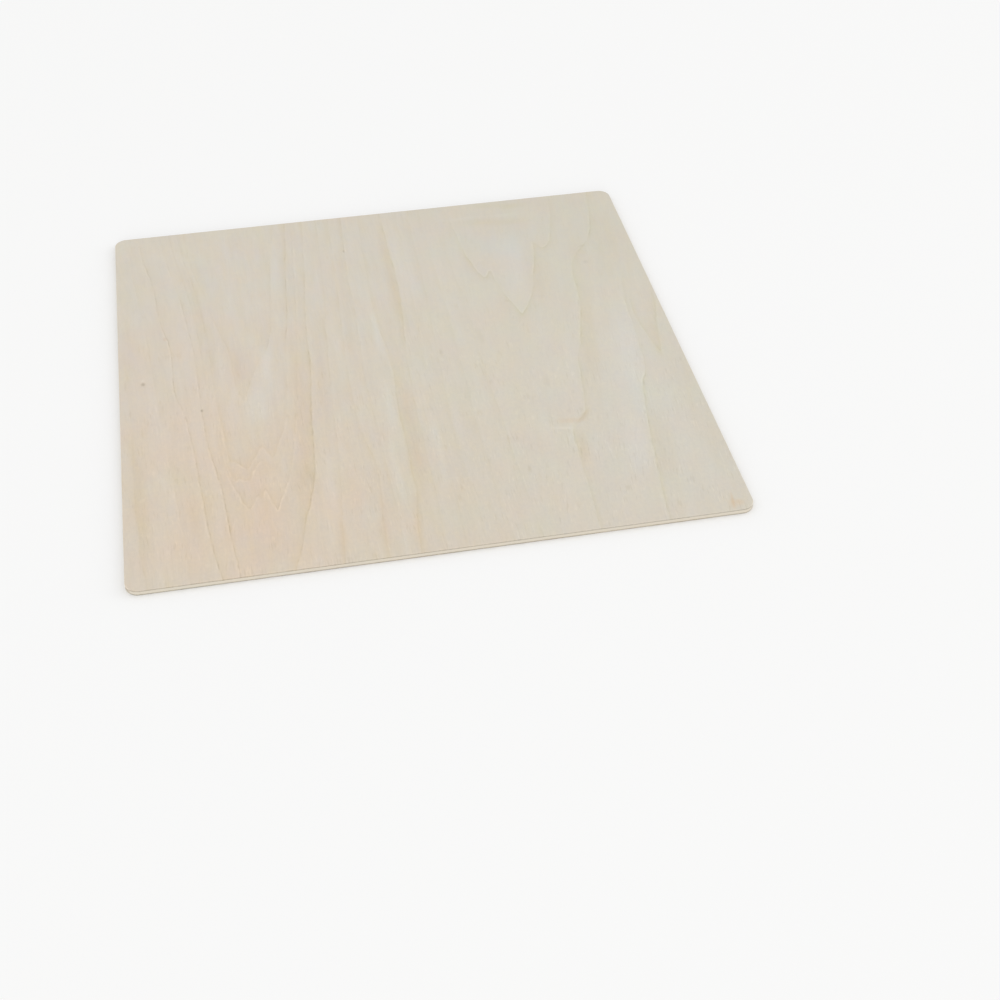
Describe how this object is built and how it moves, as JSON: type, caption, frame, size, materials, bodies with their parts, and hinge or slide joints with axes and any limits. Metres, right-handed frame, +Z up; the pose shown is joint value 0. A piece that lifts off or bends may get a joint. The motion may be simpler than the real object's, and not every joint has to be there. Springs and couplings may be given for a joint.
{
  "type": "plywood sheet",
  "caption": "Thin square basswood plywood panel with rounded corners and eased edges, its cross-grained plies showing at the rim; flat stock for cutting, engraving and painting.",
  "frame": {"origin": "centre of the underside of the sheet, on the floor it lies on", "axes": "+Z up, out of the face veneer; +Y along the grain of the face and back veneers; +X across that grain, along the grain of the core"},
  "size_m": [0.3, 0.3, 0.003],
  "materials": {
    "face_veneer": "matte",
    "core_veneer": "matte",
    "back_veneer": "matte"
  },
  "bodies": {
    "root": {"face_veneer": "face_veneer", "core_veneer": "core_veneer", "back_veneer": "back_veneer"}
  },
  "joints": []
}
